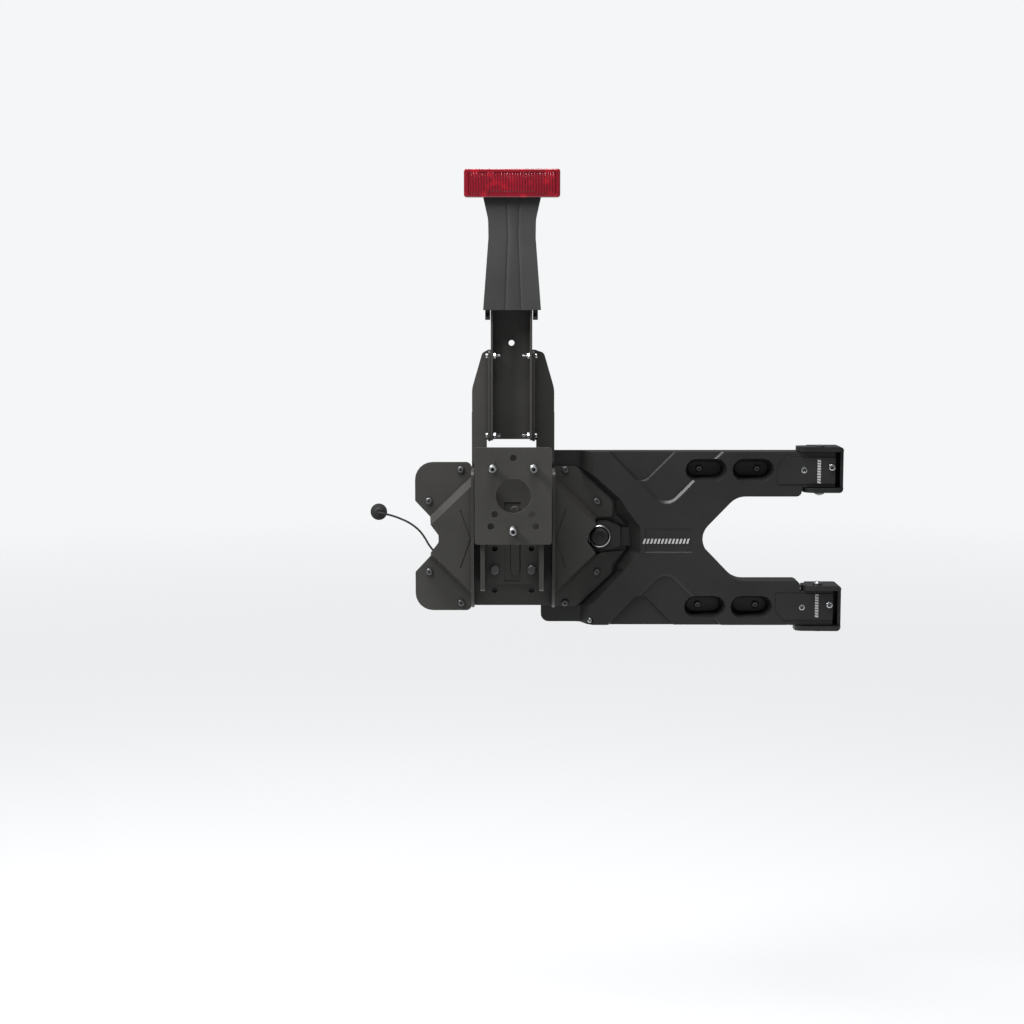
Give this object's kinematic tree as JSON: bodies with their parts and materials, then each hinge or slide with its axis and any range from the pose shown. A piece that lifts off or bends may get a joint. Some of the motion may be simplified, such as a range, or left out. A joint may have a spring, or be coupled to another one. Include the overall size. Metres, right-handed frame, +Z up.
{
  "type": "spare tire carrier",
  "caption": "Swing-out tailgate spare tire carrier: hinged K-shaped casting, X bracket, sliding wheel plate with studs, and a raised mast with a red brake light.",
  "frame": {"origin": "on the back pad of the upper hinge bracket, straight behind the upper hinge pin, at the middle height of the pad's bolt holes", "axes": "+X right as seen from behind the vehicle, +Y into the vehicle, +Z up"},
  "size_m": [0.901, 0.192, 0.8695],
  "materials": {
    "steel_coat": "satin textured powder coat on pressed steel",
    "cast_coat": "satin textured powder coat on a casting",
    "zinc": "bright zinc plate",
    "brass": "machined",
    "rubber": "matte moulded",
    "black_plastic": "fine grain",
    "grey_plastic": "fine grain",
    "red_lens": "clear red, ribbed",
    "circuit_board": "solder mask"
  },
  "bodies": {
    "body_brackets": {"upper_hinge_bracket": "steel_coat", "lower_hinge_bracket": "steel_coat", "upper_hinge_pin": "zinc", "lower_hinge_pin": "zinc", "upper_pin_ring": "zinc", "lower_pin_ring": "zinc"},
    "carrier": {"hinge_casting": "cast_coat", "upper_knuckle": "cast_coat", "lower_knuckle": "cast_coat", "upper_knuckle_outer_bush": "brass", "upper_knuckle_inner_bush": "brass", "lower_knuckle_outer_bush": "brass", "lower_knuckle_inner_bush": "brass", "upper_lock_screw": "zinc", "lower_lock_screw": "zinc", "upper_clamp_screw": "zinc", "lower_clamp_screw": "zinc", "upper_arm_bolt_1": "zinc", "upper_arm_bolt_2": "zinc", "lower_arm_bolt_1": "zinc", "lower_arm_bolt_2": "zinc", "casting_screw": "zinc", "carrier_bracket": "steel_coat", "upper_lobe_pad": "rubber", "lower_lobe_pad": "rubber", "bracket_bolt_1": "zinc", "bracket_bolt_2": "zinc", "bracket_bolt_3": "zinc", "bracket_bolt_4": "zinc", "bracket_bolt_5": "zinc", "bracket_bolt_6": "zinc", "bracket_bolt_7": "zinc", "bracket_bolt_8": "zinc", "bumper_seat": "zinc", "mount_channel": "steel_coat", "left_wing": "steel_coat", "right_wing": "steel_coat", "left_mast_bolt_1": "zinc", "left_mast_bolt_2": "zinc", "right_mast_bolt_1": "zinc", "right_mast_bolt_2": "zinc", "lamp_cable": "rubber", "cable_grommet": "rubber"},
    "tire_bumper": {"tire_bumper": "rubber"},
    "wheel_mount": {"slider_channel": "steel_coat", "wheel_plate": "steel_coat", "wheel_stud_1": "zinc", "wheel_stud_2": "zinc", "wheel_stud_3": "zinc", "left_height_bolt": "zinc", "right_height_bolt": "zinc"},
    "light_mast": {"mast_channel": "steel_coat", "mast_cover": "grey_plastic", "left_cover_clip": "black_plastic", "right_cover_clip": "black_plastic", "lamp_housing": "black_plastic", "lamp_lens": "red_lens", "lamp_board": "circuit_board"}
  },
  "joints": [
    {"name": "gate_swing", "type": "hinge", "parent": "body_brackets", "child": "carrier", "pos_m": [0, -0.04, 0], "axis": [0, 0, 1], "range_deg": [0, 95]},
    {"name": "wheel_height", "type": "slide", "parent": "carrier", "child": "wheel_mount", "axis": [0, 0, 1], "range_m": [-0.02, 0.02]},
    {"name": "mast_height", "type": "slide", "parent": "carrier", "child": "light_mast", "axis": [0, 0, 1], "range_m": [-0.045, 0]},
    {"name": "bumper_adjust", "type": "slide", "parent": "carrier", "child": "tire_bumper", "axis": [0, -1, 0], "range_m": [0, 0.012]}
  ]
}
